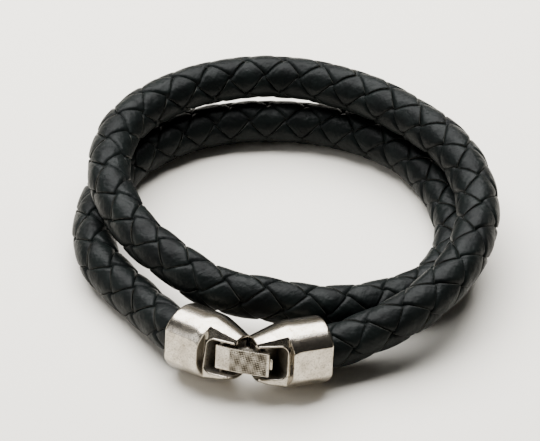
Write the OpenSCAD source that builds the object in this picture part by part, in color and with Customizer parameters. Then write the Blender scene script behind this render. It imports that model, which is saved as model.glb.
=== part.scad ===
// Two-turn wrap bracelet: a round cord of six plaited leather strips whose
// ends sit in the two halves of a metal lever clasp.
// It lies flat on z = 0 with its clasp towards -Y. Sizes are in millimetres.

/* [Cord] */
// Diameter over the crowns of the plait
cord_d = 9.5; // [9.3:0.1:9.6]
// Length in which one strip winds once round the cord
pitch = 25; // [24:0.5:26]
// Distance from the left mouth to the first crossing of the plait
first_crossing = 3.7; // [3.2:0.1:4.2]
// Angle of the first crossing round the cord, from the top outwards
crossing_angle = 12; // [6:1:18]
// Diameter of the soft core
core_d = 3.4; // [3:0.1:3.6]

/* [Clasp halves] */
// Diameter of the barrel that holds the cord
barrel_d = 14; // [13.8:0.1:14.4]
// Diameter of the cone where its axis meets the tip's centre
tip_d = 10; // [9.8:0.1:10.4]
// How far the cone runs on past that place, towards the other half
tip_back = 0.8; // [0.6:0.1:0.9]
// Length of a half from tip to mouth
half_length = 15; // [14.8:0.1:15.6]
// Length of the taper
taper_length = 6.9; // [6.7:0.1:7.4]
// Distance of the barrel's outer flat from its axis
barrel_flat = 6.2; // [6.1:0.1:6.5]
// Distance of the outer face from the axis at the tip's centre
tip_face = 2.9; // [2.8:0.1:3.1]
// Slope of the taper's outer face, in degrees
face_slope = 15; // [14:0.5:16]
// Length of that face from the tip's centre to the foot of the short step
face_end = 5.75; // [5.6:0.05:5.9]
// Diameter of the bore that takes the cord
socket_d = 10; // [9.9:0.1:10.2]
// Depth of that bore
socket_depth = 7.3; // [7:0.1:7.4]
// Rounding of the mouth's rim
lip = 0.6; // [0.4:0.1:0.8]
// Angle between a half's axis and the line across the clasp
vee = 32; // [31:0.5:33]

/* [Slot] */
// Width of the slot for the lever
slot_w = 7.2; // [7:0.1:7.4]
// Length of the slot in one half, along its axis
slot_length = 5.5; // [5.4:0.1:5.8]
// Radius of the slot's two inner corners
slot_corner = 1.4; // [1:0.1:1.6]
// Depth of the slot's floor beyond the half's axis
slot_floor = 1.3; // [1.2:0.1:1.5]

/* [Lever] */
// Length of the lever's plate
lever_length = 11.5; // [11.3:0.1:11.6]
// Width of the plate
lever_w = 5.3; // [5:0.1:5.6]
// Thickness of the plate
lever_t = 1.2; // [1.1:0.1:1.3]
// Rise of the plate's curved top over its ends
lever_rise = 0.4; // [0.3:0.1:0.5]
// Angle by which the closed plate rises towards its free end
lever_tilt = 10; // [9:0.5:11]
// Diameter of the hinge pin
pin_d = 1.2; // [1.1:0.1:1.2]
// How far the lever is open, in degrees
lever_open = 0; // [0:5:75]

/* [Hidden] */
$fn = 64;
leather = "#1d1f1f";
silver = "#c9c4bb";

// Where the middle of the clasp stands before everything is centred
clasp_at = [-7.7, -42.3, 9.4];
// Turn of the clasp seen from above, and its lean with the face upwards
clasp_yaw = -8.5;
clasp_lean = 18;
// Half the distance between the centres of the two tips
tip_x = 1.6;
// Half the gap between the tips, which are cut flat where they meet
tip_gap = 0.15;
// Middle of the outline's underside, which is moved onto the origin
outline_base = [0.2, 0.28, 0.14];

// Route of the cord's centre line, chosen by hand. Angles run clockwise
// from the front, seen from above. The rows between the two mouths.
ROUTE_ANGLE = 0;
ROUTE_RADIUS = 1;
ROUTE_HEIGHT = 2;
route = [
    [56, 36.5, 5],
    [80, 40, 5.5],
    [104, 41, 5],
    [128, 41.5, 5],
    [152, 40.5, 5],
    [176, 38.5, 5],
    [200, 38, 5],
    [224, 38, 5],
    [248, 37, 5],
    [272, 36.5, 5],
    [296, 34, 5],
    [320, 29, 6],
    [344, 26, 7.5],
    [368, 25, 9.5],
    [392, 26.5, 10.5],
    [416, 28.5, 12.5],
    [440, 32.5, 13],
    [464, 38.5, 14.5],
    [488, 43, 14.5],
    [512, 43.5, 14.5],
    [536, 42.5, 14.5],
    [560, 40.5, 14.5],
    [584, 39.5, 14.5],
    [608, 40.5, 14.5],
    [632, 41, 13.5],
    [656, 40.5, 12.5],
    [680, 39, 10]
];

// Places in the clasp's frame: x across it to the right, y inwards, z up.

// Turns a direction of the clasp's frame into the bracelet's frame
function clasp_dir(v) =
    let (leant = [v[0],
                  v[1] * cos(clasp_lean) + v[2] * sin(clasp_lean),
                  -v[1] * sin(clasp_lean) + v[2] * cos(clasp_lean)])
    [leant[0] * cos(clasp_yaw) - leant[1] * sin(clasp_yaw),
     leant[0] * sin(clasp_yaw) + leant[1] * cos(clasp_yaw),
     leant[2]];

// Unit vector from tip to mouth of the half on one side (-1 left, 1 right)
function half_axis(side) = clasp_dir([side * cos(vee), sin(vee), 0]);

// Middle of the mouth of the half on one side
function mouth(side) =
    clasp_at + clasp_dir([side * tip_x, 0, 0]) + half_length * half_axis(side);

// The cord's centre line: a Catmull-Rom spline that leaves each mouth
// along the half's own axis.
end_pull = 24;
inner_points = [for (row = route)
    [-row[ROUTE_RADIUS] * sin(row[ROUTE_ANGLE]),
     -row[ROUTE_RADIUS] * cos(row[ROUTE_ANGLE]),
     row[ROUTE_HEIGHT]]];
spline_points = concat(
    [inner_points[0] - end_pull * half_axis(-1), mouth(-1)],
    inner_points,
    [mouth(1), inner_points[len(inner_points) - 1] - end_pull * half_axis(1)]);
spans = len(spline_points) - 3;

function unit(v) = v / norm(v);

function spline_at(t) =
    let (i = min(floor(t), spans - 1), f = t - i,
         a = spline_points[i], b = spline_points[i + 1],
         c = spline_points[i + 2], d = spline_points[i + 3])
    (2 * b + (c - a) * f + (2 * a - 5 * b + 4 * c - d) * f * f
     + (3 * b - a - 3 * c + d) * f * f * f) / 2;

function spline_slope(t) =
    let (i = min(floor(t), spans - 1), f = t - i,
         a = spline_points[i], b = spline_points[i + 1],
         c = spline_points[i + 2], d = spline_points[i + 3])
    ((c - a) + 2 * (2 * a - 5 * b + 4 * c - d) * f
     + 3 * (3 * b - a - 3 * c + d) * f * f) / 2;

// Running length of the centre line, in steps of a tenth of a span
steps_per_span = 10;
step_points = [for (i = [0:spans * steps_per_span]) spline_at(i / steps_per_span)];
length_at = [for (i = 0, sum = 0;
                  i < len(step_points);
                  i = i + 1,
                  sum = i < len(step_points) ? sum + norm(step_points[i] - step_points[i - 1]) : 0)
             sum];
parameter_by_length = [for (i = [0:len(length_at) - 1]) [length_at[i], i / steps_per_span]];
cord_length = length_at[len(length_at) - 1];

// Frame of the cord at one distance from the left mouth: the centre, the
// direction along it, the level direction outwards and the one upwards.
// Past a mouth the cord runs straight on along the half's axis.
AT = 0;
ALONG = 1;
OUT = 2;
UP = 3;
function cord_frame(s) =
    let (inside = min(max(s, 0), cord_length),
         t = lookup(inside, parameter_by_length),
         along = unit(spline_slope(t)),
         out = unit(cross([0, 0, 1], along)))
    [spline_at(t) + (s - inside) * along, along, out, cross(along, out)];

// Point at distance s, angle a from the top outwards, and radius r
function on_cord(s, a, r) =
    let (f = cord_frame(s))
    f[AT] + r * (cos(a) * f[UP] + sin(a) * f[OUT]);

// The plait. Strips of both hands cross every sixth of the pitch. A strip
// of hand 1 lies on top at even crossings, one of hand -1 at odd ones.
crossing_step = pitch / 6;
// Part of a step for which a strip keeps its height beside a crossing,
// where it lies over and where it lies under
over_part = 0.33;
under_part = 0.49;
// How far a strip's own middle line may reach into a socket
tuck = 4.9;
strip_slant = atan(PI * 0.88 * cord_d / pitch);

// Sections of a strip where it lies over and under: the offset across the
// strip and the radius from the cord's centre, clockwise from its left edge
over_section = [
    [-3, cord_d / 2 - 0.4],
    [0, cord_d / 2],
    [3, cord_d / 2 - 0.4],
    [2.9, cord_d / 2 - 0.8],
    [-2.9, cord_d / 2 - 0.8]
];
under_section = [
    [-1.7, 2.75],
    [0, 2.9],
    [1.7, 2.75],
    [1.7, 2.3],
    [-1.7, 2.3]
];

function lies_over(crossing, hand) =
    (crossing % 2 == 0) == (hand == 1);

function strip_point(u, hand, turn, place) =
    let (s = first_crossing + u * crossing_step,
         a = crossing_angle + hand * 60 * u + turn)
    on_cord(s - hand * place[0] * sin(strip_slant),
            a + place[0] * cos(strip_slant) / place[1] * 180 / PI,
            place[1]);

// Rings of a strip: the place in crossings, and whether it lies over there
crossings = [floor((-tuck - first_crossing) / crossing_step) :
             ceil((cord_length + tuck - first_crossing) / crossing_step)];
function within(u) =
    let (s = first_crossing + u * crossing_step)
    s > -tuck && s < cord_length + tuck;
function stations(hand) =
    [for (n = crossings)
        let (over = lies_over(n, hand), part = over ? over_part : under_part)
        for (u = [n - part, n + part]) if (within(u)) [u, over]];

// Closed skin over rings of equal size, as triangles. The patches on the
// sides listed in back are split on their other diagonal.
module skin(rings, back = []) {
    n = len(rings[0]);
    last = len(rings) - 1;
    points = [for (ring = rings, p = ring) p];
    sides = [for (i = [0:last - 1], j = [0:n - 1], half = [0, 1])
        let (a = i * n + j, b = i * n + (j + 1) % n)
        len(search(j, back)) > 0 ? (half == 0 ? [a, b, a + n] : [b, b + n, a + n])
                                 : (half == 0 ? [a, b, b + n] : [a, b + n, a + n])];
    first_cap = [for (j = [1:n - 2]) [0, j + 1, j]];
    last_cap = [for (j = [1:n - 2]) [last * n, last * n + j, last * n + j + 1]];
    polyhedron(points, concat(first_cap, sides, last_cap), convexity = 10);
}

// Everything is drawn about the ring's middle and moved onto the origin
module centred() {
    translate(-outline_base) children();
}

// The diagonals run along the cord: they slant one way on the outer sides
// of a strip and the other way on its inner side.
outer_sides = [0, 1, 2, 4];
inner_side = [3];
module strip(hand, index) {
    centred()
    skin([for (station = stations(hand))
            [for (place = station[1] ? over_section : under_section)
                strip_point(station[0], hand, 120 * index, place)]],
         hand == 1 ? outer_sides : inner_side);
}

module strand_1() { color(leather) strip(1, 0); }
module strand_2() { color(leather) strip(-1, 0); }
module strand_3() { color(leather) strip(1, 1); }
module strand_4() { color(leather) strip(-1, 1); }
module strand_5() { color(leather) strip(1, 2); }
module strand_6() { color(leather) strip(-1, 2); }

// The core reaches deeper into the sockets than the strips do
core_sides = 8;
core_rings = 70;
core_tuck = 6.8;
module core() {
    color("#2b2a28")
    centred()
    skin([for (i = [0:core_rings])
        let (s = -core_tuck + (cord_length + 2 * core_tuck) * i / core_rings)
        [for (j = [0:core_sides - 1]) on_cord(s, 360 * j / core_sides, core_d / 2)]]);
}

module clasp_frame() {
    centred()
    translate(clasp_at)
    rotate([0, 0, clasp_yaw])
    rotate([-clasp_lean, 0, 0])
    children();
}

// A half is drawn with its tip's centre at the origin and its axis along +X.
// The outer face looks towards -Y. The left half is the mirrored right one.
module half_frame() {
    translate([tip_x, 0, 0]) rotate([0, 0, vee]) children();
}

lip_steps = 4;
barrel_r = barrel_d / 2;
cone_rise = (barrel_r - tip_d / 2) / taper_length;
half_profile = concat(
    [[0, -tip_back], [tip_d / 2 - tip_back * cone_rise, -tip_back], [barrel_r, taper_length]],
    [for (i = [0:lip_steps])
        let (a = 90 * i / lip_steps)
        [barrel_r - lip + lip * cos(a), half_length - lip + lip * sin(a)]],
    [[0, half_length]]);

// Outer face: a slope on the taper, a short step, and the barrel's flat
step_length = 0.35;
function face_at(x) = tip_face + x * tan(face_slope);
clear_of = 20;

module face_cut() {
    translate([0, 0, -clear_of])
    linear_extrude(2 * clear_of)
    polygon([
        [-1, -clear_of],
        [half_length + 1, -clear_of],
        [half_length + 1, -barrel_flat],
        [face_end + step_length, -barrel_flat],
        [face_end, -face_at(face_end)],
        [-1, -face_at(-1)]
    ]);
}

// Slot outline with two round inner corners, cut inwards to the floor
module slot_cut() {
    translate([0, slot_floor, 0])
    rotate([90, 0, 0])
    linear_extrude(clear_of) {
        translate([-3, -slot_w / 2]) square([slot_length - slot_corner + 3, slot_w]);
        translate([-3, slot_corner - slot_w / 2])
            square([slot_length + 3, slot_w - 2 * slot_corner]);
        for (side = [-1, 1])
            translate([slot_length - slot_corner, side * (slot_w / 2 - slot_corner)])
                circle(slot_corner);
    }
}

module clasp_half() {
    difference() {
        half_frame() difference() {
            rotate([0, 90, 0]) rotate_extrude($fn = 96) polygon(half_profile);
            face_cut();
            slot_cut();
            translate([half_length - socket_depth, 0, 0])
                rotate([0, 90, 0]) cylinder(h = socket_depth + 1, d = socket_d);
        }
        translate([tip_gap - clear_of, -clear_of, -clear_of])
            cube([clear_of, 2 * clear_of, 2 * clear_of]);
    }
}

// The lever's hinge pin, in the clasp's frame
pin_at = [-5.1, 0.1];
pin_length = 9.2;
pin_hole_d = pin_d + 0.1;

module across(at, d, length) {
    translate([at[0], at[1], -length / 2]) cylinder(h = length, d = d, $fn = 32);
}

module hinge_shell() {
    color(silver)
    clasp_frame()
    difference() {
        mirror([1, 0, 0]) clasp_half();
        across(pin_at, pin_hole_d, pin_length + 0.2);
    }
}

// Bar in the right half that the lever's tongue snaps over
catch_bar_at = [3.1, 0.1];
catch_bar_d = 1.2;

module catch_shell() {
    color(silver)
    clasp_frame()
    union() {
        clasp_half();
        across(catch_bar_at, catch_bar_d, slot_w + 0.8);
    }
}

module hinge_pin() {
    color(silver) clasp_frame() across(pin_at, pin_d, pin_length);
}

// The lever is drawn about its pin with its plate along +X and its top
// towards +Y, then turned so that +Y looks outwards.
plate_steps = 8;
plate_start = -1.2;
plate_level = 1;
eye_d = 2.1;
eye_hole_d = pin_d + 0.2;
boss_d = 1.8;
boss_at = [5, -0.4];
tongue_start = 9.15;
tongue_end = 9.95;
tongue_reach = -1.4;
tongue_w = 4.4;
nub_length = 0.55;
nub_w = 2.3;

function plate_top(f) = plate_level + 4 * lever_rise * f * (1 - f);

module plate_outline() {
    polygon(concat(
        [for (i = [0:plate_steps])
            let (f = i / plate_steps)
            [plate_start + lever_length * f, plate_top(f)]],
        [for (i = [plate_steps:-1:0])
            let (f = i / plate_steps)
            [plate_start + lever_length * f, plate_top(f) - lever_t]]));
}

module wide(w) { translate([0, 0, -w / 2]) linear_extrude(w) children(); }

module lever() {
    plate_end = plate_start + lever_length;
    color(silver)
    clasp_frame()
    translate([pin_at[0], pin_at[1], 0])
    rotate([180, 0, -lever_open - lever_tilt])
    difference() {
        union() {
            wide(lever_w) plate_outline();
            wide(lever_w) circle(d = eye_d);
            wide(lever_w) translate(boss_at) circle(d = boss_d);
            wide(lever_w) translate([boss_at[0] - 0.6, boss_at[1]]) square([1.2, 1.4]);
            wide(tongue_w) translate([tongue_start, tongue_reach])
                square([tongue_end - tongue_start, plate_level - tongue_reach - 0.2]);
            wide(nub_w) translate([plate_end - 0.4, plate_level - lever_t])
                square([nub_length + 0.4, lever_t / 2]);
        }
        across([0, 0], eye_hole_d, lever_w + 2);
    }
}

strand_1();
strand_2();
strand_3();
strand_4();
strand_5();
strand_6();
core();
hinge_shell();
catch_shell();
lever();
hinge_pin();
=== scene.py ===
"""Looks of a two-turn bracelet of plaited leather with a metal lever clasp."""
import logging
import math
from dataclasses import dataclass, field
from enum import Enum
from typing import Any

import bmesh
import bpy
import numpy as np
from numpy.typing import NDArray
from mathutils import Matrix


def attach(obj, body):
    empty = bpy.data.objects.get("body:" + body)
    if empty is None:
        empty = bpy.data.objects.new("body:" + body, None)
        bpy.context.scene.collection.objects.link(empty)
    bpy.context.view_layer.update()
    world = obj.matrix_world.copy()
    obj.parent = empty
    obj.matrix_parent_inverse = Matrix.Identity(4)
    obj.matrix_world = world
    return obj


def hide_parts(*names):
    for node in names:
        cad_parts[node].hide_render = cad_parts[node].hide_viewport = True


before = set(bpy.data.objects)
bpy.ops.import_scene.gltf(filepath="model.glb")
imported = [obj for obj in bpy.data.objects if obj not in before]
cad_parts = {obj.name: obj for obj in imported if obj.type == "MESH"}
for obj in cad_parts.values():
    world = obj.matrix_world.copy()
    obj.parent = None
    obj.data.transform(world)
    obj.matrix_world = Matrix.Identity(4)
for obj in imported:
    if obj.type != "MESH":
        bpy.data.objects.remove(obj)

Array = NDArray[np.float64]
LOG = logging.getLogger("bracelet")
MM = 0.001
BODY = "bracelet"
LEVER_BODY = "lever"


class Hand(Enum):
    """Way in which a strip winds round the cord, seen along the cord."""

    OUTWARDS = 1
    INWARDS = -1


class Side(Enum):
    """Half of the clasp, seen from its outer face."""

    LEFT = -1
    RIGHT = 1


def linear(code: str) -> tuple[float, float, float, float]:
    """Turn an sRGB hex colour into linear light.

    Args:
        code: Colour such as "#1d1f1f".

    Returns:
        Red, green, blue and alpha in linear light.
    """
    parts = [int(code[i:i + 2], 16) / 255 for i in (1, 3, 5)]
    light = [c / 12.92 if c <= 0.04045 else ((c + 0.055) / 1.055) ** 2.4 for c in parts]
    return (light[0], light[1], light[2], 1.0)


def plug(tree: bpy.types.NodeTree, node: bpy.types.Node, **links: Any) -> None:
    """Set or link a node's inputs.

    Args:
        tree: Node tree of the node.
        node: Node that gets the values.
        links: Input name to a value or to an output socket. An underscore
            stands for a space, and a leading "i" and number for an index.
    """
    for key, value in links.items():
        indexed = key[0] == "i" and key[1:].isdigit()
        socket = node.inputs[int(key[1:])] if indexed else node.inputs[key.replace("_", " ")]
        if isinstance(value, bpy.types.NodeSocket):
            tree.links.new(value, socket)
        else:
            socket.default_value = value


def add_node(tree: bpy.types.NodeTree, kind: str, settings: dict[str, Any] | None = None,
             **links: Any) -> bpy.types.Node:
    """Add one shader node with its settings and its links.

    Args:
        tree: Node tree that gets the node.
        kind: Blender's name of the node type.
        settings: Values of the node's properties.
        links: Values and sockets for its inputs, as plug takes them.

    Returns:
        The new node.
    """
    node = tree.nodes.new(kind)
    for key, value in (settings or {}).items():
        setattr(node, key, value)
    plug(tree, node, **links)
    return node


def grain(tree: bpy.types.NodeTree, place: bpy.types.NodeSocket, mm: float, detail: float,
          roughness: float) -> bpy.types.NodeSocket:
    """Noise with lumps of a size in mm, as a value from 0 to 1."""
    return add_node(tree, "ShaderNodeTexNoise", Vector=place, Scale=1 / (mm * MM), Detail=detail,
                    Roughness=roughness).outputs["Fac"]


def bump(tree: bpy.types.NodeTree, height: bpy.types.NodeSocket, strength: float, mm: float,
         **links: Any) -> bpy.types.NodeSocket:
    """Normal of a relief whose full height is given in mm."""
    return add_node(tree, "ShaderNodeBump", Strength=strength, Distance=mm * MM, Height=height,
                    **links).outputs["Normal"]


def ramp(tree: bpy.types.NodeTree, fac: bpy.types.NodeSocket,
         stops: list[tuple[float, str]]) -> bpy.types.NodeSocket:
    """Colour ramp over the given stops.

    Args:
        tree: Node tree that gets the ramp.
        fac: Socket that drives it.
        stops: Place and hex colour of each stop.

    Returns:
        The ramp's colour output.
    """
    node = add_node(tree, "ShaderNodeValToRGB", Fac=fac)
    elements = node.color_ramp.elements
    while len(elements) < len(stops):
        elements.new(0.5)
    for element, (place, code) in zip(elements, stops):
        element.position = place
        element.color = linear(code)
    return node.outputs["Color"]


def new_material(name: str) -> tuple[bpy.types.Material, bpy.types.NodeTree, bpy.types.Node]:
    """Make an empty node material.

    Args:
        name: Name of the real finish.

    Returns:
        The material, its tree and its Principled shader.
    """
    material = bpy.data.materials.new(name)
    material.use_nodes = True
    tree = material.node_tree
    return material, tree, tree.nodes["Principled BSDF"]


@dataclass(frozen=True)
class PlaitedLeather:
    """Drum-dyed calf leather, smooth and waxed: near black with a satin sheen.

    Fine creases run along each strip where it bends, and the handled crowns
    are a little greyer. The strips' rounded edges, cut sides and undersides
    take a lighter colour: a painted highlight along the edges.
    """

    dark: str = "#070909"
    worn: str = "#111514"
    # Lighter colour of the painted highlight on the strips' rounded edges, cut sides and
    # undersides.
    edge: str = "#4a4943"
    pore_mm: float = 0.4
    crease_mm: float = 0.55
    crease_stretch: float = 5.0
    cloud_mm: float = 5.0
    dent_mm: float = 2.2
    roughness: float = 0.42
    sheen_level: float = 0.07

    def make(self) -> bpy.types.Material:
        """Build the material from the strips' own edge, across and along marks."""
        material, tree, shader = new_material("waxed_calf_leather")
        place = add_node(tree, "ShaderNodeTexCoord").outputs["Object"]
        edge, across, along = (
            add_node(tree, "ShaderNodeAttribute", {"attribute_name": name}).outputs["Fac"]
            for name in ("edge", "across_mm", "along_mm"))
        slow = add_node(tree, "ShaderNodeMath", {"operation": "DIVIDE"}, i0=along,
                        i1=self.crease_stretch)
        strip = add_node(tree, "ShaderNodeCombineXYZ", X=across, Y=slow.outputs[0])
        cloud = grain(tree, place, self.cloud_mm, 4.0, 0.6)
        body = ramp(tree, cloud, [(0.35, self.dark), (0.70, self.worn)])
        # Painted highlight: the edge mark turns the rounded edges, cut sides and undersides to the
        # edge colour.
        rim = ramp(tree, edge, [(0.75, "#000000"), (1.0, "#ffffff")])
        colour = add_node(tree, "ShaderNodeMix", {"data_type": "RGBA"}, i0=rim, i6=body,
                          i7=linear(self.edge))
        pores = add_node(tree, "ShaderNodeTexVoronoi", {"feature": "F1"}, Vector=place,
                         Scale=1 / (self.pore_mm * MM))
        creases = add_node(tree, "ShaderNodeTexNoise", Vector=strip.outputs["Vector"],
                           Scale=1 / self.crease_mm, Detail=5.0, Roughness=0.6)
        fine = bump(tree, pores.outputs["Distance"], 0.35, 0.04)
        soft = bump(tree, creases.outputs["Fac"], 0.8, 0.11, Normal=fine)
        uneven = bump(tree, grain(tree, place, self.dent_mm, 2.0, 0.5), 0.75, 0.45, Normal=soft)
        rough = add_node(tree, "ShaderNodeMapRange", Value=cloud, i1=0.3, i2=0.7,
                         i3=self.roughness + 0.10, i4=self.roughness - 0.06)
        plug(tree, shader, Base_Color=colour.outputs[2], Roughness=rough.outputs["Result"],
             Normal=uneven, IOR=1.5, Specular_IOR_Level=self.sheen_level)
        return material


@dataclass(frozen=True)
class CottonCore:
    """Twisted cotton yarn, undyed grey: matt, with slanting plies."""

    dark: str = "#1a1917"
    light: str = "#33312d"
    ply_mm: float = 0.8

    def make(self) -> bpy.types.Material:
        """Build the material as bands of wave texture."""
        material, tree, shader = new_material("twisted_cotton_yarn")
        place = add_node(tree, "ShaderNodeTexCoord").outputs["Object"]
        plies = add_node(tree, "ShaderNodeTexWave", Vector=place, Scale=0.3 / (self.ply_mm * MM),
                         Distortion=1.5, Detail=2.0)
        colour = ramp(tree, plies.outputs["Fac"], [(0.0, self.dark), (1.0, self.light)])
        plug(tree, shader, Base_Color=colour, Roughness=0.9)
        return material


@dataclass(frozen=True)
class CastSilver:
    """Silver-plated zinc casting, tumbled to a soft polish.

    It mirrors its surroundings a little blurred, with fine pits, faint
    handling marks and a scatter of dark tarnish specks.
    """

    name: str = "tumbled_silver_plate"
    # The warm beige of these colours is partly a painted reflection of warm ground below, partly
    # the plate's own tint.
    colour: str = "#b8b0a3"
    stain: str = "#9c9487"
    # Dark colour of the tarnish specks, of the dirt in the lever's hatching and of the painted
    # shade on the clasp halves.
    dirt_and_shade: str = "#3a352d"
    roughness: float = 0.17
    stain_mm: float = 2.5
    speck_mm: float = 0.35
    speck_strength: float = 0.55
    pit_mm: float = 0.5
    pit_depth: float = 0.25

    def make(self) -> bpy.types.Material:
        """Build the material with pits, patchy roughness, dark tarnish specks, and a dark colour
        laid on by a mesh mark: dirt in the lever's hatching, painted shade on the clasp halves.
        """
        material, tree, shader = new_material(self.name)
        place = add_node(tree, "ShaderNodeTexCoord").outputs["Object"]
        cloud = grain(tree, place, self.stain_mm, 5.0, 0.65)
        clean = ramp(tree, cloud, [(0.35, self.stain), (0.6, self.colour)])
        specks = ramp(tree, grain(tree, place, self.speck_mm, 4.0, 0.75),
                      [(0.38, "#ffffff"), (0.50, "#000000")])
        tarnish = add_node(tree, "ShaderNodeMath", {"operation": "MULTIPLY"}, i0=specks,
                           i1=self.speck_strength).outputs[0]
        plate = add_node(tree, "ShaderNodeMix", {"data_type": "RGBA"}, i0=tarnish,
                         i6=clean, i7=linear(self.dirt_and_shade)).outputs[2]
        # Mesh mark for the dark colour: painted shade on the clasp halves' tip ends and step
        # corners, dirt in the lever's hatching.
        hollow = add_node(tree, "ShaderNodeAttribute", {"attribute_name": "dirt_and_shade"})
        colour = add_node(tree, "ShaderNodeMix", {"data_type": "RGBA"}, i0=hollow.outputs["Fac"],
                          i6=plate, i7=linear(self.dirt_and_shade))
        pits = bump(tree, grain(tree, place, self.pit_mm, 3.0, 0.7), self.pit_depth, 0.03)
        rough = add_node(tree, "ShaderNodeMapRange", Value=cloud, i1=0.3, i2=0.7,
                         i3=self.roughness + 0.08, i4=self.roughness - 0.03)
        plug(tree, shader, Base_Color=colour.outputs[2], Roughness=rough.outputs["Result"],
             Normal=pits, Metallic=1.0)
        return material


@dataclass(frozen=True)
class HatchedPlate(CastSilver):
    """The same plate over the lever's cut cross-hatching, dulled by the thumb.

    It gives the eye a grey, finely broken patch beside the bright plate.
    """

    name: str = "hatched_silver_plate"
    colour: str = "#c3bcaf"
    stain: str = "#a9a194"
    roughness: float = 0.26


@dataclass(frozen=True)
class RawCasting(CastSilver):
    """Zinc casting as it leaves the mould, where no polishing wheel reaches.

    It gives the slots and bores a soft, dull depth.
    """

    name: str = "raw_zinc_casting"
    colour: str = "#cfc7ba"
    stain: str = "#aea698"
    roughness: float = 0.45


@dataclass(frozen=True)
class BurnishedSteel(CastSilver):
    """Drawn steel rod, burnished by use: greyer and darker than the plate."""

    name: str = "burnished_steel_pin"
    colour: str = "#8a857d"
    stain: str = "#6b6762"
    roughness: float = 0.3


@dataclass(frozen=True)
class StudioPaper:
    """Matt seamless paper, warm white, under the bracelet."""

    colour: str = "#f5f0e5"

    def make(self) -> bpy.types.Material:
        """Build the material with a very faint tooth."""
        material, tree, shader = new_material("seamless_studio_paper")
        place = add_node(tree, "ShaderNodeTexCoord").outputs["Object"]
        tooth = add_node(tree, "ShaderNodeTexNoise", Vector=place, Scale=1 / (0.6 * MM))
        plug(tree, shader, Base_Color=linear(self.colour), Roughness=0.85,
             Normal=bump(tree, tooth.outputs["Fac"], 0.05, 0.05))
        return material


def sheet_faces(rows: int, columns: int, loop: bool) -> Array:
    """Quads of a grid whose columns close on themselves.

    Args:
        rows: Number of rings.
        columns: Points in each ring.
        loop: Whether the last ring joins the first one.

    Returns:
        One row of four point indices for each quad.
    """
    i, j = np.meshgrid(np.arange(rows if loop else rows - 1), np.arange(columns), indexing="ij")
    k, below = (j + 1) % columns, (i + 1) % rows
    quads = np.stack([i * columns + j, i * columns + k, below * columns + k,
                      below * columns + j], axis=-1)
    return quads.reshape(-1, 4)


def ring_mesh(name: str, rings: Array, attributes: dict[str, Array] | None = None,
              flip: bool = False, loop: bool = False) -> bpy.types.Object:
    """Make a closed object from rings of points.

    Args:
        name: Name of the piece.
        rings: Points in metres, shaped rings by columns by 3.
        attributes: Values for each point of the grid, by attribute name.
        flip: Whether the rings run clockwise seen along the path.
        loop: Whether the last ring joins the first; otherwise a fan closes
            each end.

    Returns:
        The new object, smooth shaded, linked to the scene.
    """
    rows, columns, _ = rings.shape
    points = np.concatenate([rings.reshape(-1, 3), rings[0].mean(axis=0, keepdims=True),
                             rings[-1].mean(axis=0, keepdims=True)])
    quads = sheet_faces(rows, columns, loop)
    j = np.arange(columns)
    k = (j + 1) % columns
    last = (rows - 1) * columns
    fans = np.concatenate([
        np.stack([np.full(columns, rows * columns), k, j], axis=-1),
        np.stack([np.full(columns, rows * columns + 1), last + j, last + k], axis=-1)])
    if loop:
        points, fans = points[:-2], fans[:0]
    if flip:
        quads, fans = quads[:, ::-1], fans[:, ::-1]
    mesh = bpy.data.meshes.new(name)
    mesh.vertices.add(len(points))
    mesh.vertices.foreach_set("co", points.ravel())
    corners = np.concatenate([quads.ravel(), fans.ravel()]).astype(np.int32)
    sizes = np.concatenate([np.full(len(quads), 4), np.full(len(fans), 3)])
    starts = np.concatenate([[0], np.cumsum(sizes)[:-1]]).astype(np.int32)
    mesh.loops.add(len(corners))
    mesh.loops.foreach_set("vertex_index", corners)
    mesh.polygons.add(len(sizes))
    mesh.polygons.foreach_set("loop_start", starts)
    mesh.polygons.foreach_set("use_smooth", np.ones(len(sizes), dtype=bool))
    for key, values in (attributes or {}).items():
        layer = mesh.attributes.new(key, "FLOAT", "POINT")
        full = np.concatenate([values.ravel(), [values[0].mean(), values[-1].mean()]])
        layer.data.foreach_set("value", full[:len(points)].astype(np.float32))
    mesh.update(calc_edges=True)
    mesh.validate()
    piece = bpy.data.objects.new(name, mesh)
    bpy.context.scene.collection.objects.link(piece)
    return piece


def soft_min(a: Array, b: Array, width: float) -> Array:
    """Lower of two surfaces with their crease rounded over a width in mm."""
    return -width * np.logaddexp(-a / width, -b / width)


def soft_max(a: Array, b: Array, width: float) -> Array:
    """Higher of two surfaces with their crease rounded over a width in mm."""
    return width * np.logaddexp(a / width, b / width)


def chance(number: Array) -> Array:
    """Repeatable value from 0 to 1 for each number: the fraction of a large sine."""
    large = np.sin(number * 12.9898) * 43758.5453
    return large - np.floor(large)


def smooth_step(x: Array) -> Array:
    """Rise from 0 to 1 with level ends, for x from 0 to 1."""
    t = np.clip(x, 0.0, 1.0)
    return t * t * (3 - 2 * t)


def turn(axis: str, degrees: float) -> Array:
    """Rotation matrix about one axis.

    Args:
        axis: "x" or "z".
        degrees: Angle, anticlockwise seen from the axis's far end.

    Returns:
        The matrix, for points as columns.
    """
    c, s = math.cos(math.radians(degrees)), math.sin(math.radians(degrees))
    if axis == "x":
        return np.array([[1, 0, 0], [0, c, -s], [0, s, c]])
    return np.array([[c, -s, 0], [s, c, 0], [0, 0, 1]])


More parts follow.
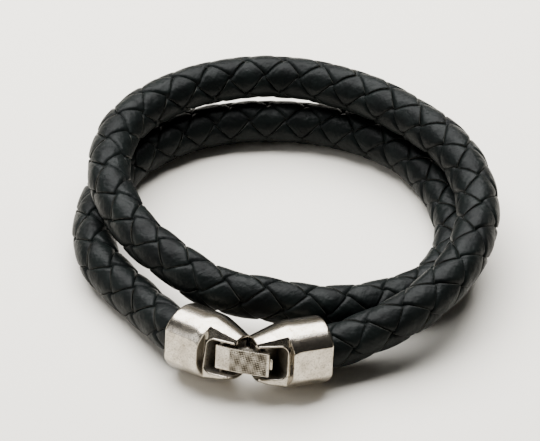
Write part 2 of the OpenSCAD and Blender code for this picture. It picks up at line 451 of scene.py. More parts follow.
@dataclass(frozen=True)
class ClaspSeat:
    """Where the clasp stands, with the sizes that its pieces share, in mm."""

    base: tuple[float, float, float] = (0.2, 0.28, 0.14)
    at: tuple[float, float, float] = (-7.7, -42.3, 9.4)
    yaw: float = -8.5
    lean: float = 18.0
    tip_x: float = 1.6
    vee: float = 32.0
    half_length: float = 15.0
    pin: tuple[float, float] = (-5.1, 0.1)

    def direction(self, v: Array) -> Array:
        """Turn directions of the clasp's frame into the bracelet's frame."""
        return np.asarray(v, dtype=float) @ (turn("z", self.yaw) @ turn("x", -self.lean)).T

    def place(self, points: Array) -> Array:
        """Turn points of the clasp's frame, in mm, into the bracelet's, in metres."""
        return (self.direction(points) + np.array(self.at) - np.array(self.base)) * MM

    def half_to_clasp(self, points: Array, side: Side) -> Array:
        """Set points of a half, tip at the origin and axis along +X, in the clasp.

        Args:
            points: Points in the right half's own frame, in mm.
            side: Which half they are for; the left one is mirrored.

        Returns:
            The points in the clasp's frame, in mm.
        """
        out = points @ turn("z", self.vee).T + np.array([self.tip_x, 0.0, 0.0])
        return out * np.array([side.value, 1.0, 1.0])

    def axis(self, side: Side) -> Array:
        """Unit vector from a half's tip to its mouth, in the bracelet's frame."""
        vee = math.radians(self.vee)
        return self.direction(np.array([side.value * math.cos(vee), math.sin(vee), 0.0]))

    def mouth(self, side: Side) -> Array:
        """Middle of a half's mouth in mm, before everything is centred."""
        tip = np.array(self.at) + self.direction(np.array([side.value * self.tip_x, 0.0, 0.0]))
        return tip + self.half_length * self.axis(side)


@dataclass
class CordRoute:
    """Centre line of the cord: angle clockwise from the front, radius, height.

    The rows are those of the bracelet's construction, in degrees and mm.
    """

    seat: ClaspSeat
    pull: float = 24.0
    steps: int = 60
    rows: tuple[tuple[float, float, float], ...] = (
        (56, 36.5, 5), (80, 40, 5.5), (104, 41, 5), (128, 41.5, 5), (152, 40.5, 5),
        (176, 38.5, 5), (200, 38, 5), (224, 38, 5), (248, 37, 5), (272, 36.5, 5),
        (296, 34, 5), (320, 29, 6), (344, 26, 7.5), (368, 25, 9.5), (392, 26.5, 10.5),
        (416, 28.5, 12.5), (440, 32.5, 13), (464, 38.5, 14.5), (488, 43, 14.5),
        (512, 43.5, 14.5), (536, 42.5, 14.5), (560, 40.5, 14.5), (584, 39.5, 14.5),
        (608, 40.5, 14.5), (632, 41, 13.5), (656, 40.5, 12.5), (680, 39, 10))
    knots: Array = field(init=False)
    lengths: Array = field(init=False)
    places: Array = field(init=False)

    def __post_init__(self) -> None:
        """Set the spline's knots and the table of its running length."""
        table = np.array(self.rows, dtype=float)
        a = np.radians(table[:, 0])
        inner = np.stack([-table[:, 1] * np.sin(a), -table[:, 1] * np.cos(a), table[:, 2]], -1)
        self.knots = np.vstack([
            inner[0] - self.pull * self.seat.axis(Side.LEFT), self.seat.mouth(Side.LEFT),
            inner, self.seat.mouth(Side.RIGHT),
            inner[-1] - self.pull * self.seat.axis(Side.RIGHT)])
        self.places = np.linspace(0, len(self.knots) - 3, (len(self.knots) - 3) * self.steps + 1)
        points = self.curve(self.places)[0]
        gaps = np.linalg.norm(np.diff(points, axis=0), axis=1)
        self.lengths = np.concatenate([[0.0], np.cumsum(gaps)])

    @property
    def length(self) -> float:
        """Length from mouth to mouth in mm."""
        return float(self.lengths[-1])

    def curve(self, t: Array) -> tuple[Array, Array]:
        """Catmull-Rom spline through the knots: cubic between neighbours.

        Args:
            t: Places along it, one unit for each span.

        Returns:
            The points, and their slopes by t.
        """
        i = np.minimum(np.floor(t).astype(int), len(self.knots) - 4)
        f = (t - i)[:, None]
        a, b, c, d = (self.knots[i + k] for k in range(4))
        square = 2 * a - 5 * b + 4 * c - d
        cube = 3 * b - a - 3 * c + d
        point = (2 * b + (c - a) * f + square * f ** 2 + cube * f ** 3) / 2
        slope = ((c - a) + 2 * square * f + 3 * cube * f ** 2) / 2
        return point, slope

    def surface(self, s: Array, angle: Array, radius: Array) -> Array:
        """Points about the centre line.

        The centre at distance s, plus the radius times cos(angle) upwards and
        sin(angle) outwards. Past a mouth the line runs straight on.

        Args:
            s: Distances from the left mouth in mm.
            angle: Degrees round the cord from its top, outwards.
            radius: Distances from the centre line in mm.

        Returns:
            Points in metres in the bracelet's frame.
        """
        flat = s.ravel()
        inside = np.clip(flat, 0.0, self.length)
        point, slope = self.curve(np.interp(inside, self.lengths, self.places))
        along = slope / np.linalg.norm(slope, axis=1, keepdims=True)
        out = np.stack([-along[:, 1], along[:, 0], np.zeros(len(flat))], axis=-1)
        out /= np.linalg.norm(out, axis=1, keepdims=True)
        up = np.cross(along, out)
        centre = point + (flat - inside)[:, None] * along
        a = np.radians(angle.ravel())[:, None]
        r = radius.ravel()[:, None]
        points = centre + r * (np.cos(a) * up + np.sin(a) * out) - np.array(self.seat.base)
        return (points * MM).reshape(s.shape + (3,))


@dataclass
class Plait:
    """Six flat leather strips, three of each hand, plaited over one, under one.

    Sizes are in mm. The fields named "part" are parts of a crossing or of the
    cord's radius, and the last ones set how finely a strip is meshed.
    """

    route: CordRoute
    finish: PlaitedLeather
    cord_r: float = 4.75
    pitch: float = 25.0
    first_crossing: float = 3.7
    crossing_angle: float = 12.0
    tuck: float = 4.9
    width: float = 6.44
    under_width: float = 5.6
    under_r: float = 3.25
    thickness: float = 0.95
    edge_thickness: float = 0.38
    crown: float = 0.22
    sag: float = 0.12
    edge_round: float = 0.26
    flat_part: float = 0.34
    dive_part: float = 0.32
    wander: float = 0.07
    swell: float = 0.049
    edge_drop: float = 0.182
    tilt: float = 0.10
    puff: float = 0.05
    drop: float = 0.10
    under_crown: float = 0.15
    turn_r: float = 4.25
    under_turn_r: float = 3.05
    slant_part: float = 0.88
    lead_mm: float = 61.0
    hand_lead_mm: float = 400.0
    rings_per_crossing: int = 20
    top_points: int = 23
    under_points: int = 5

    def section(self) -> tuple[Array, Array]:
        """Outline of a strip across its width.

        Returns:
            Place across from -1 to 1, and depth from 0 at the top to 1 at the
            underside, along one closed outline.
        """
        top = np.sin(np.linspace(-0.5, 0.5, self.top_points) * math.pi)
        under = np.linspace(0.96, -0.96, self.under_points)
        across = np.concatenate([top, under])
        depth = np.concatenate([np.zeros(self.top_points), np.ones(self.under_points)])
        return across, depth

    def strip(self, hand: Hand, index: int) -> tuple[Array, dict[str, Array]]:
        """Surface of one strip.

        At u crossings along, the strip stands at the crossing angle plus 60
        degrees a crossing. Its top radius swings from the crown over an even
        crossing to the under level at an odd one, with a flat top and sloping
        ends. Across, it falls with the square of the place, is skived thin
        towards the edges, and has a small round at each edge. Slow sums of
        sines shift its edges, so that no two cells are the same.

        Args:
            hand: Way in which the strip winds.
            index: Which of the three strips of that hand it is.

        Returns:
            Rings of points in metres, and for each point how near it is to an
            edge, and its place across and along the strip in mm.
        """
        step = self.pitch / 6
        low = math.ceil((-self.tuck - self.first_crossing) / step * self.rings_per_crossing)
        high = math.floor((self.route.length + self.tuck - self.first_crossing) / step
                          * self.rings_per_crossing)
        u = np.arange(low, high + 1)[:, None] / self.rings_per_crossing
        across, depth = self.section()
        phase = u if hand is Hand.OUTWARDS else u - 1
        to_over = np.abs((phase + 1) % 2 - 1)
        under = smooth_step((to_over - self.flat_part) / self.dive_part)
        lot = chance(np.round(phase / 2) + 17 * index + 7 * hand.value)
        seed = 1.7 * index + 0.9 * hand.value
        wander = self.wander * (np.sin(1.31 * u + seed) + np.sin(2.87 * u + 2.3 * seed))
        swell = self.swell * np.sin(1.93 * u + 3.1 * seed)
        half = (self.width * (1 - under) + self.under_width * under) / 2 + swell
        from_edge = half - np.abs(across) * half
        shoulder = np.clip(1 - from_edge / self.edge_round, 0, 1)
        rounding = self.edge_drop * (1 - np.sqrt(np.clip(1 - shoulder ** 2, 0, 1)))
        sag = self.sag * (to_over / 0.5) ** 2 * (1 - under)
        tilt = (lot - 0.5) * self.tilt * across
        puff = self.puff * np.sin(2.2 * u + 2.0 * across + seed) * (1 - across ** 2)
        over = (self.cord_r - self.drop * lot - sag - self.crown * across ** 2 - rounding
                + tilt + puff)
        top = over * (1 - under) + (self.under_r - self.under_crown * across ** 2) * under
        thick = self.thickness - (self.thickness - self.edge_thickness) * across ** 2
        radius = top - depth * (thick - rounding * 0.5)
        slant = math.atan(math.pi * self.slant_part * 2 * self.cord_r / self.pitch)
        offset = across * half + wander
        middle = self.turn_r * (1 - under) + self.under_turn_r * under
        s = self.first_crossing + u * step - hand.value * offset * math.sin(slant)
        angle = (self.crossing_angle + hand.value * 60 * u + 120 * index
                 + np.degrees(offset * math.cos(slant) / middle))
        lead = self.lead_mm * index + self.hand_lead_mm * hand.value
        along = u * step / math.cos(slant) + lead
        # The edge mark, rounded shoulder and underside, carries the painted edge highlight.
        marks = {"edge": np.broadcast_to(np.maximum(shoulder, depth), s.shape),
                 "across_mm": np.broadcast_to(across * half, s.shape),
                 "along_mm": np.broadcast_to(along, s.shape)}
        return self.route.surface(s, angle, np.broadcast_to(radius, s.shape)), marks

    def build(self) -> list[bpy.types.Object]:
        """Make the six strips; each stands for its strand in the frame."""
        leather = self.finish.make()
        made = []
        for index in range(3):
            for order, hand in enumerate(Hand):
                number = 2 * index + order + 1
                rings, marks = self.strip(hand, index)
                piece = ring_mesh(f"braid_strip_{number}", rings, marks, flip=True)
                piece.data.materials.append(leather)
                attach(piece, BODY)
                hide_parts(f"strand_{number}")
                made.append(piece)
        return made


def solid_mesh(name: str, points: Array, faces: list[tuple[int, ...]]) -> bpy.types.Object:
    """Make an object from points and faces of any shape.

    Args:
        name: Name of the object.
        points: Its points in metres.
        faces: Its faces as point indices.

    Returns:
        The new object, linked to the scene.
    """
    mesh = bpy.data.meshes.new(name)
    mesh.from_pydata(points.tolist(), [], faces)
    mesh.update()
    solid = bpy.data.objects.new(name, mesh)
    bpy.context.scene.collection.objects.link(solid)
    return solid


def prism(outline: Array, low: float, high: float) -> tuple[Array, list[tuple[int, ...]]]:
    """Extrude an outline in x and z along y.

    Args:
        outline: Points as x and z, anticlockwise seen from -Y.
        low: Lowest y.
        high: Highest y.

    Returns:
        Points and faces of the closed prism.
    """
    n = len(outline)
    near = np.stack([outline[:, 0], np.full(n, low), outline[:, 1]], axis=-1)
    far = near.copy()
    far[:, 1] = high
    sides = [(i, i + n, (i + 1) % n + n, (i + 1) % n) for i in range(n)]
    return np.vstack([near, far]), [tuple(range(n)), tuple(range(2 * n - 1, n - 1, -1))] + sides


def bar_rings(at: tuple[float, float], radius: float, length: float, edge: float,
              hole: float = 0.1) -> Array:
    """Rings of a round bar that lies along z, with its two edges broken.

    Args:
        at: Centre in x and y.
        radius: Its radius.
        length: Its length.
        edge: Size of the broken edges.
        hole: Radius of the first and the last ring.

    Returns:
        Rings of points, in the same unit.
    """
    a = np.linspace(0, 2 * math.pi, 48, endpoint=False)
    half = length / 2
    profile = np.array([[-half, hole], [-half, radius - edge],
                        [-half + edge * 0.3, radius - edge * 0.3], [-half + edge, radius]])
    profile = np.vstack([profile, profile[::-1] * np.array([-1.0, 1.0])])
    r = profile[:, 1:]
    return np.stack([at[0] + r * np.cos(a), at[1] + r * np.sin(a),
                     profile[:, :1] + 0 * a], axis=-1)


def profile_rows(x: Array | float, part: Array | float = 1.0, inset: Array | float = 0.0,
                 bore: Array | float = 0.0) -> Array:
    """Rows of a clasp half's profile, with single values spread over them all."""
    columns = np.broadcast_arrays(*(np.atleast_1d(value) for value in (x, part, inset, bore)))
    return np.stack(columns, axis=-1).astype(float)


def apply_modifiers(piece: bpy.types.Object) -> None:
    """Put a piece's modifiers into its mesh."""
    graph = bpy.context.evaluated_depsgraph_get()
    mesh = bpy.data.meshes.new_from_object(piece.evaluated_get(graph))
    mesh.name = piece.name
    old = piece.data
    piece.modifiers.clear()
    piece.data = mesh
    bpy.data.meshes.remove(old)


def face_outwards(piece: bpy.types.Object) -> None:
    """Turn all the faces of a closed piece outwards."""
    work = bmesh.new()
    work.from_mesh(piece.data)
    bmesh.ops.remove_doubles(work, verts=work.verts, dist=1e-7)
    bmesh.ops.recalc_face_normals(work, faces=work.faces)
    work.to_mesh(piece.data)
    work.free()


def cut_away(piece: bpy.types.Object, helpers: list[bpy.types.Object],
             finish: bpy.types.Material) -> None:
    """Cut helper solids out of a piece and remove them.

    Args:
        piece: The piece to cut.
        helpers: Closed solids that lie where it is to be hollow.
        finish: Finish of the surfaces that the cuts leave.
    """
    for helper in helpers:
        face_outwards(helper)
        helper.data.materials.append(finish)
        modifier = piece.modifiers.new("cut", "BOOLEAN")
        modifier.object = helper
        modifier.solver = "EXACT"
        modifier.material_mode = "TRANSFER"
    apply_modifiers(piece)
    for helper in helpers:
        bpy.data.objects.remove(helper)


@dataclass
class ClaspHalf:
    """One cast half: barrel, taper with a flat face, slot, socket and rim line.

    Sizes are in mm and angles in degrees.
    """

    seat: ClaspSeat
    side: Side
    finish: bpy.types.Material
    raw: bpy.types.Material
    face_roll: float
    # Strength of the painted shade in the step's corner, and how far and how softly it spreads.
    grime_and_shade: float
    shade_reach: float = 0.15
    shade_fade: float = 0.25
    face_fade: float = 0.4
    face_dome: float = 0.023
    barrel_r: float = 7.0
    tip_r: float = 5.0
    taper: float = 6.9
    flat: float = 6.2
    tip_back: float = 0.8
    tip_slant: float = 0.9
    slant_end: float = 3.0
    tip_face: float = 2.9
    face_slope: float = 15.0
    face_end: float = 5.75
    step: float = 0.35
    socket_r: float = 5.0
    socket_depth: float = 7.3
    socket_edge: float = 0.25
    lip: float = 0.6
    tip_round: float = 0.3
    slot_w: float = 7.2
    slot_length: float = 5.5
    slot_corner: float = 1.4
    slot_floor: float = 1.3
    pin_hole_r: float = 0.65
    pin_hole_length: float = 9.4
    tip_gap: float = 0.03
    clear: float = 12.0
    past_tip: float = 3.0
    past_middle: float = 9.0
    crease: float = 0.05
    shoulder: float = 0.12
    rim_r: float = 0.2
    rim_outset: float = 0.12
    rim_start: float = 0.3
    sharp_deg: float = 32.0
    columns: int = 288

    def face(self, x: Array, z: Array) -> Array:
        """Distance of the outer face from the axis: slope, steep step, flat.

        The slope is a little domed across and rolled about the axis.

        Args:
            x: Distance from the tip along the axis.
            z: Height above the axis.

        Returns:
            Distance in mm.
        """
        rise = math.tan(math.radians(self.face_slope))
        roll = math.tan(math.radians(self.face_roll))
        foot = self.tip_face + self.face_end * rise
        wall = foot + (x - self.face_end) * (self.flat - foot) / self.step
        slope = self.tip_face + x * rise - roll * z - self.face_dome * z ** 2
        stepped = soft_max(slope, soft_min(wall, np.full_like(wall, self.flat), 0.05), 0.05)
        return np.where(x < self.face_end + 2 * self.step, stepped, self.flat)

    def round_radius(self, x: Array) -> Array:
        """Radius of the cone or the barrel, whichever is lower."""
        cone = self.tip_r + x * (self.barrel_r - self.tip_r) / self.taper
        return soft_min(cone, np.full_like(cone, self.barrel_r), self.shoulder)

    def outer(self, x: Array, angle: Array) -> Array:
        """Radius of the outer skin: the round part cut by the face.

        The cut depends on the height that it leads to, so it is found in
        three rounds.

        Args:
            x: Distance from the tip along the axis.
            angle: Radians round the axis from the outer face.

        Returns:
            Radius in mm.
        """
        round_r = self.round_radius(x)
        facing = np.maximum(np.cos(angle), 1e-3)
        height = np.clip(round_r * np.sin(angle), -round_r, round_r)
        for _ in range(3):
            cut = self.face(x, height) / facing
            height = np.minimum(cut, round_r) * np.sin(angle)
        return soft_min(round_r + 0 * angle, cut, self.crease)

    def set_back(self, x: Array, z: Array) -> Array:
        """How far the tip stands back at its underside, fading out along the taper."""
        fade = 1 - smooth_step((x + self.tip_back) / self.slant_end)
        return self.tip_slant * (0.5 - z / (2 * self.tip_r)) * fade

    def profile(self) -> Array:
        """Profile from the tip's end face to the socket's floor.

        The tip's end, its round, the taper, the short step and the barrel
        follow the outer skin; the lip, the socket's edge and the socket do the
        mouth.

        Returns:
            Rows of the place along the axis, the part of the skin's radius that
            is kept, the distance inwards from there, and the radius of a plain
            circle that takes its place where that isn't 0.
        """
        end, step_end = self.seat.half_length, self.face_end + self.step
        a = np.radians(np.linspace(0, 90, 5))
        lip = np.radians(np.linspace(12, 90, 8))
        floor = end - self.socket_depth
        return np.concatenate([
            profile_rows(-self.tip_back, part=np.array([0.35, 0.7, 0.9])),
            profile_rows(self.tip_round * (1 - np.cos(a)) - self.tip_back,
                         inset=self.tip_round * (1 - np.sin(a))),
            profile_rows(np.linspace(self.tip_round + 0.1 - self.tip_back,
                                     self.face_end - 0.1, 24)),
            profile_rows(np.linspace(self.face_end, step_end + 0.1, 14)),
            profile_rows(np.linspace(step_end + 0.2, self.taper + 0.8, 12)),
            profile_rows(np.linspace(self.taper + 1.0, end - self.lip, 20)),
            profile_rows(end - self.lip * (1 - np.sin(lip)), inset=self.lip * (1 - np.cos(lip))),
            profile_rows(end, bore=self.socket_r + self.socket_edge),
            profile_rows(end - self.socket_edge * (1 - np.cos(a)),
                         bore=self.socket_r + self.socket_edge * (1 - np.sin(a))),
            profile_rows(np.array([end - 2.0, floor, floor]),
                         bore=self.socket_r * np.array([1.0, 1.0, 0.5]))])

    def skin(self) -> tuple[Array, dict[str, Array]]:
        """Skin of the half in its own frame, from tip to socket floor.

        Returns:
            Rings of points in mm, and how much painted shade lies on each
            point: all of it on the tip's end face, and some in the corner of
            the short step on the face.
        """
        x, part, inset, bore = np.split(self.profile(), 4, axis=1)
        angle = np.linspace(0, 2 * math.pi, self.columns, endpoint=False)
        round_r, skin_r = self.round_radius(x), self.outer(x, angle)
        radius = np.where(bore > 0, bore, skin_r * part - inset)
        height = radius * np.sin(angle)
        rings = np.stack([x + self.set_back(x, height), -radius * np.cos(angle), height], axis=-1)
        # Painted shade: full on the tip's end face, and in the short step's corner on the face.
        to_corner = np.abs(x - self.face_end - self.step / 2)
        corner = 1 - smooth_step((to_corner - self.shade_reach) / self.shade_fade)
        on_face = smooth_step((round_r - skin_r) / self.face_fade - 0.1)
        return rings, {"dirt_and_shade": np.where(part < 1, 1.0, self.grime_and_shade * corner * on_face)}

    def slot_outline(self, grow: float = 0.0, count: int = 10) -> Array:
        """Outline of the slot from its open end round the two inner corners.

        Args:
            grow: How far the outline is moved outwards.
            count: Points in each corner.

        Returns:
            Points as x and z.
        """
        half, corner = self.slot_w / 2 + grow, self.slot_corner + grow
        end = self.slot_length + grow
        a = np.radians(np.linspace(0, 90, count))
        x, z = end - corner, half - corner
        lower = np.stack([x + corner * np.sin(a), -z - corner * np.cos(a)], axis=-1)
        upper = np.stack([x + corner * np.cos(a), z + corner * np.sin(a)], axis=-1)
        return np.vstack([lower, upper])

    def cut(self, piece: bpy.types.Object) -> None:
        """Cut the slot, the flat where the tips meet and the pin's hole.

        Args:
            piece: The half's shell.
        """
        half, clear = self.slot_w / 2, self.clear
        open_end = np.array([[-self.past_tip, half], [-self.past_tip, -half]])
        points, faces = prism(np.vstack([self.slot_outline(), open_end]), -clear, self.slot_floor)
        slot = solid_mesh("slot_cut", self.world(points), faces)
        box = np.array([[x, y, z] for x in (-self.past_middle, self.tip_gap)
                        for y in (-clear, clear) for z in (-clear, clear)])
        sides = [(0, 1, 3, 2), (4, 6, 7, 5), (0, 4, 5, 1), (2, 3, 7, 6), (0, 2, 6, 4), (1, 5, 7, 3)]
        box[:, 0] *= self.side.value
        helpers = [slot, solid_mesh("tip_cut", self.seat.place(box), sides)]
        if self.side is Side.LEFT:
            hole = bar_rings(self.seat.pin, self.pin_hole_r, self.pin_hole_length, 0.05)
            helpers.append(ring_mesh("pin_cut", self.seat.place(hole)))
        cut_away(piece, helpers, self.raw)

    def world(self, points: Array) -> Array:
        """Set points of the half's own frame, in mm, in the bracelet's, in metres."""
        return self.seat.place(self.seat.half_to_clasp(points, self.side))

    def rim(self) -> Array:
        """Rings of the raised line round the slot: a small circle swept along it."""
        path = self.slot_outline(grow=self.rim_outset, count=14)
        start = np.array([[self.open_x(), path[0, 1]]])
        stop = np.array([[self.open_x(), path[-1, 1]]])
        straight = np.linspace(0, 1, 12)[:-1, None]
        path = np.vstack([start + (path[0] - start) * straight, path,
                          (path[-1] + (stop - path[-1]) * np.linspace(0, 1, 12)[1:, None])])
        path[:, 0] += self.set_back(path[:, 0], path[:, 1])
        spine = np.stack([path[:, 0], -self.face(path[:, 0], path[:, 1]), path[:, 1]], axis=-1)
        along = np.gradient(spine, axis=0)
        along /= np.linalg.norm(along, axis=1, keepdims=True)
        tilt = math.radians(self.face_slope)
        out = np.array([-math.sin(tilt), -math.cos(tilt), 0.0])
        out = out - (along @ out)[:, None] * along
        out /= np.linalg.norm(out, axis=1, keepdims=True)
        flank = np.cross(along, out)
        a = np.linspace(0, 2 * math.pi, 16, endpoint=False)[None, :, None]
        return spine[:, None] + self.rim_r * (np.cos(a) * out[:, None] + np.sin(a) * flank[:, None])

    def open_x(self) -> float:
        """Place along the half where the rim lines stop, short of the tip's round."""
        return self.rim_start - self.tip_back

    def build(self, name: str, node: str) -> None:
        """Make the half with its rim line, in place of its node.

        Args:
            name: Name of the piece.
            node: CAD node that it stands for.
        """
        rings, marks = self.skin()
        shell = ring_mesh(name, self.world(rings), marks, flip=self.side is Side.LEFT)
        rim = ring_mesh(f"{name}_rim", self.world(self.rim()), flip=self.side is Side.LEFT)
        for piece in (shell, rim):
            piece.data.materials.append(self.finish)
            face_outwards(piece)
        self.cut(shell)
        shell.data.set_sharp_from_angle(angle=math.radians(self.sharp_deg))
        for piece in (shell, rim):
            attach(piece, BODY)
            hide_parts(node)


@dataclass
class CatchBar:
    """Round bar across the right half's slot, which the lever's tongue snaps over."""

    seat: ClaspSeat
    finish: bpy.types.Material
    at: tuple[float, float] = (3.1, 0.1)
    radius: float = 0.6
    length: float = 8.0
    edge: float = 0.1

    def build(self) -> None:
        """Make the bar; it stands for a part of the catch shell."""
        rings = bar_rings(self.at, self.radius, self.length, self.edge)
        piece = ring_mesh("catch_bar", self.seat.place(rings))
        face_outwards(piece)
        piece.data.materials.append(self.finish)
        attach(piece, BODY)
        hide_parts("catch_shell")


@dataclass
class Lever:
    """The lever: curved plate with a hatched face, eye, boss, tongue and nub.

    Sizes are in mm, in a frame with x along the lever from the pin, y outwards
    and z across.
    """

    seat: ClaspSeat
    finish: bpy.types.Material
    hatched: bpy.types.Material
    tilt: float = 10.0
    length: float = 11.5
    width: float = 5.3
    thick: float = 1.2
    rise: float = 0.4
    start: float = -1.2
    level: float = 1.0
    bevel: float = 0.16
    eye_r: float = 1.05
    eye_hole_r: float = 0.7
    hatch_start: float = 2.9
    hatch_mm: float = 0.37
    hatch_depth: float = 0.016
    boss_at: tuple[float, float] = (5.0, -0.4)
    boss_r: float = 0.9
    tongue_span: tuple[float, float] = (9.15, 9.95)
    tongue_low: float = -1.4
    tongue_high: float = 0.5
    tongue_w: float = 4.4
    nub_length: float = 0.55
    nub_w: float = 2.3
    rows: int = 230
    top_points: int = 110

    def world(self, points: Array) -> Array:
        """Set points of the lever in the bracelet's frame.

        Args:
            points: Points with x along the lever, y outwards and z across, in mm.

        Returns:
            The points in metres.
        """
        flipped = points * np.array([1.0, -1.0, -1.0])
        turned = flipped @ turn("z", -self.tilt).T + np.array([*self.seat.pin, 0.0])
        return self.seat.place(turned)

    def plate(self) -> tuple[Array, dict[str, Array]]:
        """Rings of the plate along its length.

        Each ring is a rectangle with rounded corners; the rings shrink by the
        bevel at both ends. The top follows a low arch, and past its smooth
        start it carries two crossed sets of slanting ridges, the product of
        two sines. Slow sines let them drift and wear unevenly.

        Returns:
            Points in the lever's frame, in mm, and how deep each lies in the
            hatching, from 0 to 1.
        """
        ends = np.radians(np.linspace(0, 90, 5))
        bevel, top_points = self.bevel, self.top_points
        inset = np.concatenate([bevel * (1 - np.sin(ends)), np.zeros(self.rows),
                                bevel * (1 - np.cos(ends))])
        x = np.concatenate([bevel * (1 - np.cos(ends)),
                            np.linspace(bevel, self.length - bevel, self.rows + 2)[1:-1],
                            self.length - bevel * (1 - np.sin(ends))])
        half_w, half_t = self.width / 2, self.thick / 2
        side, level = half_w - bevel, half_t - bevel
        out, up = bevel * np.sin(ends), bevel * np.cos(ends)
        z = np.concatenate([np.linspace(-side, side, top_points), side + out[1:],
                            side + out[::-1], -side - out, -side - out[::-1][:-1]])
        y = np.concatenate([np.full(top_points, half_t), level + up[1:], -level - up[::-1],
                            -level - up[::-1], level + up[:-1]])
        shrink_z = 1 - inset[:, None] / half_w
        shrink_y = 1 - inset[:, None] / half_t
        along = x[:, None] + 0 * z
        part = along / self.length
        arch = 4 * self.rise * part * (1 - part)
        on_top = (np.arange(len(z)) < top_points) & (np.abs(z) < side - 0.05)
        drift = 0.04 * np.sin(2.1 * along + 1.3 * z) + 0.03 * np.sin(3.7 * z - 1.9 * along)
        pace = math.pi / self.hatch_mm
        wave = (np.sin((along + 0.55 * z + drift) * pace)
                * np.sin((along * 0.35 - z - drift) * pace))
        wear = (0.4 + 0.2 * part + 0.25 * np.sin(1.7 * along - 2.3 * z)
                + 0.25 * np.sin(2.9 * along + 1.1 * z))
        fade = (smooth_step((along - self.hatch_start) / 0.5)
                * smooth_step((self.length - bevel * 2 - along) / 0.3))
        ridge = np.tanh(wave * 2)
        relief = self.hatch_depth * (ridge - 1) * fade * on_top
        points = np.stack([self.start + along, self.level - half_t + arch + y * shrink_y + relief,
                           z * shrink_z], axis=-1)
        grime_and_shade = (0.5 - 0.5 * ridge) * (0.12 + 0.28 * wear) + 0.38 + 0.38 * wear
        return points, {"dirt_and_shade": np.clip(grime_and_shade, 0, 1) * fade * on_top}

    def block(self, name: str, low: tuple[float, float, float],
              high: tuple[float, float, float], bevel: float) -> bpy.types.Object:
        """Make a small cast block with rounded edges.

        Args:
            name: Name of the piece.
            low: Lowest corner in the lever's frame, in mm.
            high: Highest corner.
            bevel: Radius of its edges.

        Returns:
            The new object.
        """
        outline = np.array([[low[0], low[2]], [high[0], low[2]], [high[0], high[2]],
                            [low[0], high[2]]])
        points, faces = prism(outline, low[1], high[1])
        piece = solid_mesh(name, self.world(points), faces)
        face_outwards(piece)
        modifier = piece.modifiers.new("round", "BEVEL")
        modifier.width = bevel * MM
        modifier.segments = 4
        apply_modifiers(piece)
        piece.data.shade_smooth()
        piece.data.set_sharp_from_angle(angle=math.radians(40))
        return piece

    def bored_plate(self) -> bpy.types.Object:
        """Make the plate with the pin's way cut through it, inside the eye."""
        rings, marks = self.plate()
        plate = ring_mesh("lever_plate", self.world(rings), marks)
        plate.data.materials.append(self.hatched)
        face_outwards(plate)
        bore = bar_rings((0.0, 0.0), self.eye_hole_r + 0.05, self.width + 1.0, 0.05)
        cut_away(plate, [ring_mesh("eye_cut", self.world(bore))], self.finish)
        return plate

    def build(self) -> None:
        """Make the lever's pieces, which all ride on the lever."""
        end, under = self.start + self.length, self.level - self.thick
        tongue, nub = self.tongue_w / 2, self.nub_w / 2
        eye = bar_rings((0.0, 0.0), self.eye_r, self.width - 0.04, 0.2, self.eye_hole_r)
        boss = bar_rings(self.boss_at, self.boss_r, self.width, 0.2)
        turned = [ring_mesh("lever_eye", self.world(eye), loop=True),
                  ring_mesh("lever_boss", self.world(boss))]
        blocks = [self.block("lever_tongue", (self.tongue_span[0], self.tongue_low, -tongue),
                             (self.tongue_span[1], self.tongue_high, tongue), 0.15),
                  self.block("lever_nub", (end - 0.4, under, -nub),
                             (end + self.nub_length, self.level - self.thick / 2, nub), 0.12)]
        for piece in turned:
            face_outwards(piece)
        for piece in turned + blocks:
            piece.data.materials.append(self.finish)
        plate = self.bored_plate()
        for piece in [plate, *turned]:
            piece.data.set_sharp_from_angle(angle=math.radians(50))
        for piece in [plate, *turned, *blocks]:
            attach(piece, LEVER_BODY)
            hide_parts("lever")


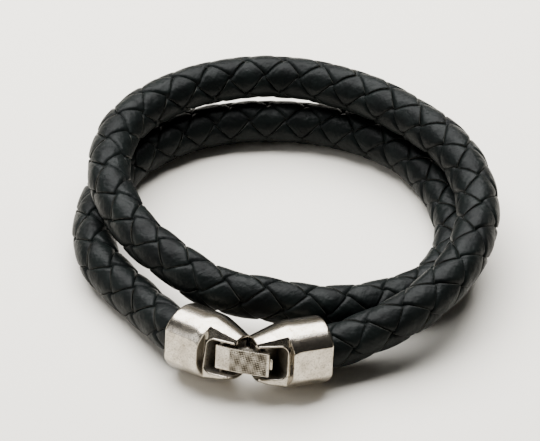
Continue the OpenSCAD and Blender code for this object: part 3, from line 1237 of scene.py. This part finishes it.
@dataclass
class Studio:
    """Floor, light and camera."""

    camera_at: tuple[float, float, float] = (-3.2, -565.2, 505.3)
    look_at: tuple[float, float, float] = (-3.2, 1.8, 7.5)
    focal_px: float = 3538.3
    image_w: int = 540
    sensor_mm: float = 36.0
    floor_half: float = 1500.0
    wall_y: float = 1700.0
    wall_top: float = 1500.0
    cove: float = 300.0
    ambient: float = 0.06
    ambient_colour: str = "#f4f2ee"

    def camera(self) -> None:
        """Set the camera at the photo's place, with no shift and no blur."""
        data = bpy.data.cameras.new("camera")
        data.sensor_width = self.sensor_mm
        data.lens = self.focal_px * self.sensor_mm / self.image_w
        data.clip_start = 0.01
        camera = bpy.data.objects.new("camera", data)
        bpy.context.scene.collection.objects.link(camera)
        eye = np.array(self.camera_at) * MM
        aim = np.array(self.look_at) * MM - eye
        camera.location = eye.tolist()
        flat = math.hypot(aim[0], aim[1])
        camera.rotation_euler = (math.atan2(flat, -aim[2]), 0.0, math.atan2(-aim[0], aim[1]))
        bpy.context.scene.camera = camera

    def lamp(self, name: str, place: tuple[float, float, float], size: tuple[float, float],
             power: float) -> None:
        """Add a rectangular soft light that faces the bracelet.

        Args:
            name: Name of the light.
            place: Where it hangs, in mm.
            size: Width and height in mm.
            power: Watts.
        """
        data = bpy.data.lights.new(name, "AREA")
        data.shape = "RECTANGLE"
        data.size, data.size_y = size[0] * MM, size[1] * MM
        data.energy = power
        light = bpy.data.objects.new(name, data)
        bpy.context.scene.collection.objects.link(light)
        spot = np.array(place) * MM
        light.location = spot.tolist()
        flat = math.hypot(spot[0], spot[1])
        light.rotation_euler = (math.atan2(flat, spot[2]), 0.0, math.atan2(spot[0], -spot[1]))

    def sweep(self) -> bpy.types.Object:
        """Make the seamless paper: a floor that curves up into a back wall.

        The profile runs level, then round a quarter circle, then straight up.
        """
        a = np.radians(np.linspace(0, 90, 25))
        y = np.concatenate([[-self.floor_half], self.wall_y + self.cove * (np.sin(a) - 1),
                            [self.wall_y]])
        z = np.concatenate([[0.0], self.cove * (1 - np.cos(a)), [self.wall_top]])
        row = np.stack([np.zeros_like(y), y, z], axis=-1)
        left, right = row.copy(), row.copy()
        left[:, 0], right[:, 0] = -self.floor_half, self.floor_half
        n = len(row)
        faces = [(i, i + n, i + n + 1, i + 1) for i in range(n - 1)]
        mesh = bpy.data.meshes.new("paper")
        mesh.from_pydata((np.vstack([left, right]) * MM).tolist(), [], faces)
        mesh.materials.append(StudioPaper().make())
        mesh.shade_smooth()
        paper = bpy.data.objects.new("paper", mesh)
        bpy.context.scene.collection.objects.link(paper)
        return paper

    def build(self) -> None:
        """Make the paper, the lights and the camera."""
        self.sweep()
        world = bpy.data.worlds.new("studio")
        world.use_nodes = True
        background = world.node_tree.nodes["Background"]
        background.inputs["Color"].default_value = linear(self.ambient_colour)
        background.inputs["Strength"].default_value = self.ambient
        bpy.context.scene.world = world
        self.lamp("overhead", (-60.0, 290.0, 560.0), size=(760.0, 640.0), power=22.0)
        self.lamp("left_card", (-565.0, -175.0, 310.0), size=(370.0, 560.0), power=1.3)
        self.camera()


def dress_cad_nodes(yarn: bpy.types.Material, steel: bpy.types.Material) -> None:
    """Give the kept CAD nodes their finishes.

    Args:
        yarn: Finish of the core.
        steel: Finish of the pin.
    """
    for name, finish in (("core", yarn), ("hinge_pin", steel)):
        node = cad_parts[name]
        for held in node.material_slots:
            held.material = finish


def main() -> None:
    """Build the bracelet's pieces in order and report each one."""
    logging.basicConfig(level=logging.INFO, format="%(message)s")
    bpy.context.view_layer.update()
    studio = Studio()
    studio.build()
    seat = ClaspSeat()
    route = CordRoute(seat)
    LOG.info("cord %.1f mm from mouth to mouth", route.length)
    silver = CastSilver().make()
    hatched = HatchedPlate().make()
    raw = RawCasting().make()
    steel = BurnishedSteel().make()
    for piece in Plait(route, PlaitedLeather()).build():
        LOG.info("%s: %d faces", piece.name, len(piece.data.polygons))
    # Painted shade in the step corner: strong on the left half, faint on the right.
    hinge_half = ClaspHalf(seat, Side.LEFT, silver, raw, face_roll=7.0, grime_and_shade=1.0)
    hinge_half.build("clasp_left", "hinge_shell")
    catch_half = ClaspHalf(seat, Side.RIGHT, silver, raw, face_roll=0.5, grime_and_shade=0.1)
    catch_half.build("clasp_right", "catch_shell")
    CatchBar(seat, steel).build()
    Lever(seat, silver, hatched).build()
    LOG.info("clasp: two halves, catch bar and lever")
    dress_cad_nodes(CottonCore().make(), steel)


if __name__ == "__main__":
    main()
